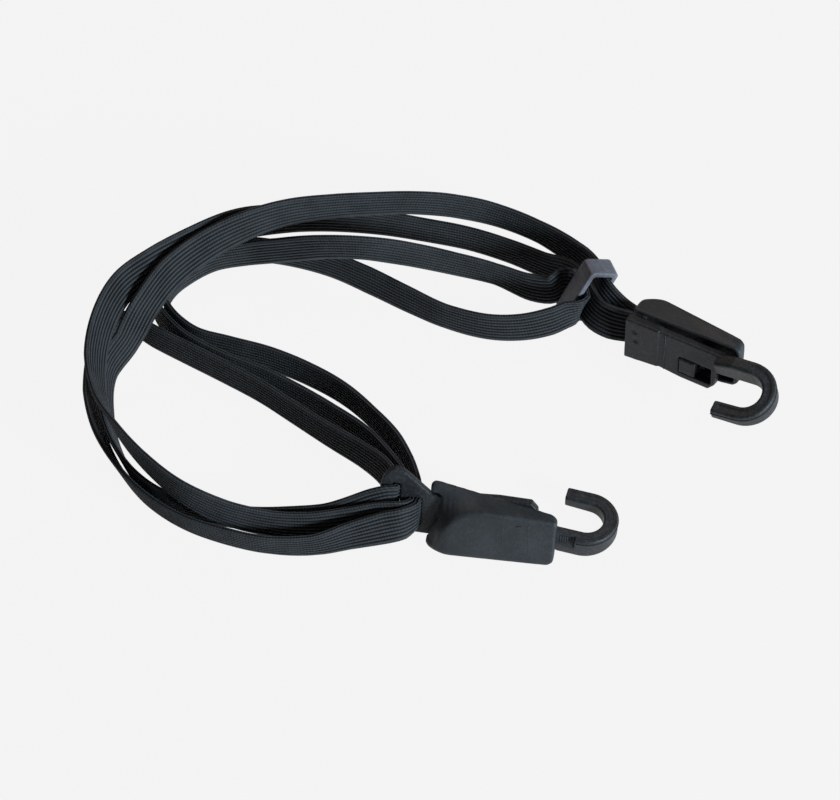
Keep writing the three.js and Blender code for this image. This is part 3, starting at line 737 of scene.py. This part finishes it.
class BUNGEE_OT_bands(bpy.types.Operator):
    """Build the five strands of ribbed elastic band"""

    bl_idname = "bungee.bands"
    bl_label = "Elastic band"

    def execute(self, context):
        settings = context.scene.bungee_band
        material = band_finish(settings)
        section = band_section(settings)
        for node, (rows, neck_at_start, neck_at_end) in STRANDS.items():
            frames = route_steps(rows, settings.step)
            necks = [frames[0][0]] * neck_at_start + [frames[-1][0]] * neck_at_end
            self.add_strand(settings, node, frames, necks, section, material)
        return {"FINISHED"}

    def add_strand(self, settings, node, frames, necks, section, material):
        vertices, along = [], []
        length = 0.0
        for index, (point, across, through) in enumerate(frames):
            if index:
                length += (point - frames[index - 1][0]).length
            share = self.narrowing(settings, point, necks)
            swell = 1 + settings.bunching * (1 - share)
            vertices += [point + across * w * share + through * d * swell for w, d, _ in section]
            along += [length] * len(section)
        faces = tube_faces(len(frames), len(section))
        piece = make_piece(node + "_elastic", vertices, faces, material)
        # The height on a rib, which the material uses for bumps and for the painted shade in the
        # grooves.
        add_values(piece, "rib", [rib for _, _, rib in section] * len(frames))
        add_values(piece, "across", [w for w, _, _ in section] * len(frames))
        add_values(piece, "along", along)
        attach(piece, "cord")
        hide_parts(node)

    def narrowing(self, settings, point, necks):
        """Share of the full width at a point, by how near it is to a squeezed end."""
        narrow = settings.neck_width / settings.width
        share = 1.0
        for neck in necks:
            near = min((point - neck).length / settings.neck_length, 1.0)
            ease = near * near * (3 - 2 * near)
            share = min(share, narrow + (1 - narrow) * ease)
        return share


def dress(name, material, cell, passes):
    """Gives a moulding its material, even faces and soft edges, without a change to its own mesh."""
    node = frame["nodes"][name]
    node.data.materials.clear()
    node.data.materials.append(material)
    remesh = node.modifiers.new("even_faces", "REMESH")
    remesh.mode = "VOXEL"
    remesh.voxel_size = cell
    remesh.use_smooth_shade = True
    smooth = node.modifiers.new("soft_edges", "SMOOTH")
    smooth.factor = SMOOTH_FACTOR
    smooth.iterations = passes


def clip_frame(settings, name):
    """Where a clip's own frame lies: X along it to the hook, Y out of its rear face."""
    place = Vector(getattr(settings, name + "_place")) + TABLE_SHIFT
    turn = getattr(settings, name + "_turn")
    return Matrix.Translation(place) @ turn.to_matrix().to_4x4()


def hook_frame(settings, clip):
    """Where a hook's own frame lies: X and Y in the plane of its bend, Z out of its face."""
    centre = Matrix.Translation((*settings.hook_centre, settings.hook_face))
    lean = Matrix.Rotation(settings.hook_lean, 4, "X")
    turn = Matrix.Rotation(settings.hook_turn, 4, "Z")
    return clip @ lean @ centre @ turn


def parting_line(settings, clip, name):
    """Points on a hook's rim, under its face on the front clip and over its rear on the back one."""
    radius = settings.hook_radius + settings.rod_width / 2 - PARTING_SINK
    taper = settings.shank_depth - settings.tip_depth
    rim = [(start, -radius, settings.shank_depth) for start in PARTING_STARTS]
    for step in range(BEND_STEPS + 1):
        share = step / BEND_STEPS
        angle = math.pi * (share - 0.5)
        depth = settings.shank_depth - BEND_TAPER * taper * share
        rim.append((radius * math.cos(angle), radius * math.sin(angle), depth))
    for step in range(1, TIP_STEPS + 1):
        share = step / TIP_STEPS
        depth = settings.tip_depth + (1 - BEND_TAPER) * taper * (1 - share)
        rim.append((-settings.tip_length * share, radius, depth))
    hook = hook_frame(settings, clip)
    points = []
    for along, across, depth in rim:
        through = settings.parting if name == "front" else depth - settings.rear_parting
        points.append(hook @ Vector((along, across, -through)))
    return points


def face_line(settings, clip, line):
    """Points on the flat front face of a cover, from a line's start to its end."""
    start, end = (Vector(place) for place in line)
    sloping = settings.cover_length - settings.cover_peak_at
    fall = (settings.cover_peak - settings.cover_end_depth) / sloping
    points = []
    for step in range(LINE_STEPS + 1):
        along, across = start.lerp(end, step / LINE_STEPS)
        depth = settings.cover_peak - (along - settings.cover_peak_at) * fall
        points.append(clip @ Vector((along, LINE_SINK - depth, across)))
    return points


def bead(points, radius):
    """A thin round bead along points, as vertices and faces."""
    vertices = []
    last = len(points) - 1
    side = (points[1] - points[0]).orthogonal()
    for index, point in enumerate(points):
        ahead = (points[min(index + 1, last)] - points[max(index - 1, 0)]).normalized()
        side = (side - ahead * side.dot(ahead)).normalized()
        rise = ahead.cross(side)
        for step in range(BEAD_SIDES):
            angle = math.tau * step / BEAD_SIDES
            vertices.append(point + radius * (side * math.cos(angle) + rise * math.sin(angle)))
    return vertices, tube_faces(len(points), BEAD_SIDES)


def ridges(clip, row):
    """A row of small ridges on a clip, as vertices and faces."""
    ends = (row.low, row.low + row.length)
    if row.outward > 0:
        ends = ends[::-1]
    vertices, faces = [], []
    for index in range(row.count):
        faces += tube_faces(len(ends), len(RIDGE_PROFILE), len(vertices))
        middle = row.first + index * row.step
        for z in ends:
            for share, lift in RIDGE_PROFILE:
                x = middle + share * row.thick
                y = row.level + row.outward * lift * row.high
                vertices.append(clip @ Vector((x, y, z)))
    return vertices, faces


class BUNGEE_OT_clips(bpy.types.Operator):
    """Finish the two clip hooks and the eye plate"""

    bl_idname = "bungee.clips"
    bl_label = "Clip hooks"

    def execute(self, context):
        settings = context.scene.bungee_clip
        cover = cover_plastic(settings)
        base = base_plastic(settings)
        dark = parting_plastic(settings)
        dress("eye_plate", base, settings.cell, settings.passes)
        for name in ("front", "back"):
            dress("hook_base_" + name, base, settings.cell, settings.passes)
            dress("cover_" + name, cover, settings.cell, settings.cover_passes)
            dress("catch_" + name, base, settings.cell, settings.passes)
            clip = clip_frame(settings, name)
            self.add_detail(name + "_seam", ridges(clip, SEAM), base, "cord")
            self.add_detail(name + "_grip", ridges(clip, GRIP), base, "cord")
            # The parting line and the dash get near-black plastic: painted shade standing in for their
            # grooves.
            rim = parting_line(settings, clip, name)
            self.add_detail(name + "_parting", bead(rim, PARTING_RADIUS), dark, "cord")
            left = face_line(settings, clip, LEFT_LINE)
            right = face_line(settings, clip, RIGHT_LINE)
            dash = face_line(settings, clip, DASH)
            self.add_detail(name + "_left_line", bead(left, LINE_RADIUS), cover, name + "_cover")
            self.add_detail(name + "_right_line", bead(right, LINE_RADIUS), cover, name + "_cover")
            self.add_detail(name + "_dash", bead(dash, DASH_RADIUS), dark, name + "_cover")
        return {"FINISHED"}

    def add_detail(self, name, shape, material, body):
        """Adds a small raised detail that moves with a body."""
        vertices, faces = shape
        piece = make_piece(name, vertices, faces, material)
        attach(piece, body)


class BUNGEE_OT_ring(bpy.types.Operator):
    """Finish the keeper ring"""

    bl_idname = "bungee.ring"
    bl_label = "Keeper ring"

    def execute(self, context):
        settings = context.scene.bungee_clip
        dress("keeper_ring", ring_plastic(settings), settings.cell, settings.passes)
        return {"FINISHED"}


class BUNGEE_OT_stage(bpy.types.Operator):
    """Set the camera, the studio light and the pale floor"""

    bl_idname = "bungee.stage"
    bl_label = "Stage"

    def execute(self, context):
        settings = context.scene.bungee_stage
        self.add_camera(context.scene, settings)
        self.add_lamp(context.scene, settings, "key")
        self.add_lamp(context.scene, settings, "back")
        self.make_world(context.scene, settings)
        self.make_floor(settings)
        context.scene.view_settings.view_transform = "Standard"
        return {"FINISHED"}

    def add_camera(self, scene, settings):
        data = bpy.data.cameras.new("photo_camera")
        data.lens = settings.lens
        data.sensor_fit = "HORIZONTAL"
        data.sensor_width = SENSOR_WIDTH
        camera = bpy.data.objects.new("photo_camera", data)
        camera.location = settings.camera_place
        gaze = Vector(settings.camera_target) - Vector(settings.camera_place)
        camera.rotation_euler = gaze.to_track_quat("-Z", "Y").to_euler()
        scene.collection.objects.link(camera)
        scene.camera = camera

    def add_lamp(self, scene, settings, name):
        """Adds a round soft lamp that shines at the frame's origin."""
        data = bpy.data.lights.new(name, "AREA")
        data.shape = "DISK"
        data.size = getattr(settings, name + "_size")
        data.energy = getattr(settings, name + "_power")
        data.color = getattr(settings, name + "_colour")
        lamp = bpy.data.objects.new(name, data)
        lamp.location = getattr(settings, name + "_place")
        lamp.rotation_euler = (-lamp.location).to_track_quat("-Z", "Y").to_euler()
        scene.collection.objects.link(lamp)

    def make_world(self, scene, settings):
        """Soft light all round, which the camera sees as the pale backdrop."""
        studio = Finish(bpy.data.worlds.new("studio"))
        path = studio.node("ShaderNodeLightPath").outputs
        seen = studio.math("MAXIMUM", path["Is Camera Ray"], path["Is Transmission Ray"])
        sockets = {"Color": settings.room_colour, "Strength": settings.room_strength}
        room = studio.node("ShaderNodeBackground", None, sockets)
        pale = studio.node("ShaderNodeBackground", None, {"Color": settings.background})
        studio.node("ShaderNodeOutputWorld", None, {"Surface": studio.mix_shaders(seen, room, pale)})
        scene.world = studio.owner

    def make_floor(self, settings):
        """A floor that the camera sees as pale grey, with the object's shadow kept faintly."""
        finish = Finish(bpy.data.materials.new("pale_floor"))
        path = finish.node("ShaderNodeLightPath").outputs
        seen = finish.math("MAXIMUM", path["Is Camera Ray"], path["Is Glossy Ray"])
        matt = finish.node("ShaderNodeBsdfDiffuse", None, {"Color": settings.bounce})
        sockets = {"Color": settings.background, "Strength": settings.glow}
        pale = finish.node("ShaderNodeEmission", None, sockets)
        mixed = finish.mix_shaders(settings.glow_share * seen, matt, pale)
        finish.node("ShaderNodeOutputMaterial", None, {"Surface": mixed})
        signs = ((-1, -1), (1, -1), (1, 1), (-1, 1))
        corners = [(FLOOR_HALF * x, FLOOR_HALF * y, 0) for x, y in signs]
        floor = make_piece("floor", corners, [(0, 1, 2, 3)], finish.owner, smooth=False)


class BUNGEE_PT_panel(bpy.types.Panel):
    """Lists the steps that build the cord, and their settings"""

    bl_label = "Bungee cord"
    bl_idname = "BUNGEE_PT_panel"
    bl_space_type = "VIEW_3D"
    bl_region_type = "UI"
    bl_category = "Bungee"

    def draw(self, context):
        for operator in STEPS:
            self.layout.operator(operator.bl_idname)
        for name, group in GROUPS.items():
            box = self.layout.box()
            settings = getattr(context.scene, name)
            for value in group.__annotations__:
                box.prop(settings, value)


GROUPS = {"bungee_band": BandSettings, "bungee_clip": ClipSettings, "bungee_stage": StageSettings}
STEPS = (BUNGEE_OT_bands, BUNGEE_OT_clips, BUNGEE_OT_ring, BUNGEE_OT_stage)


def register():
    for name, group in GROUPS.items():
        bpy.utils.register_class(group)
        setattr(bpy.types.Scene, name, PointerProperty(type=group))
    for operator in STEPS:
        bpy.utils.register_class(operator)
    bpy.utils.register_class(BUNGEE_PT_panel)


def unregister():
    bpy.utils.unregister_class(BUNGEE_PT_panel)
    for operator in reversed(STEPS):
        bpy.utils.unregister_class(operator)
    for name, group in GROUPS.items():
        delattr(bpy.types.Scene, name)
        bpy.utils.unregister_class(group)


def main():
    for item in list(bpy.data.objects):
        if item.name in STARTUP_OBJECTS:
            bpy.data.objects.remove(item)
    register()
    bpy.ops.bungee.bands()
    bpy.ops.bungee.clips()
    bpy.ops.bungee.ring()
    bpy.ops.bungee.stage()


if __name__ == "__main__":
    main()
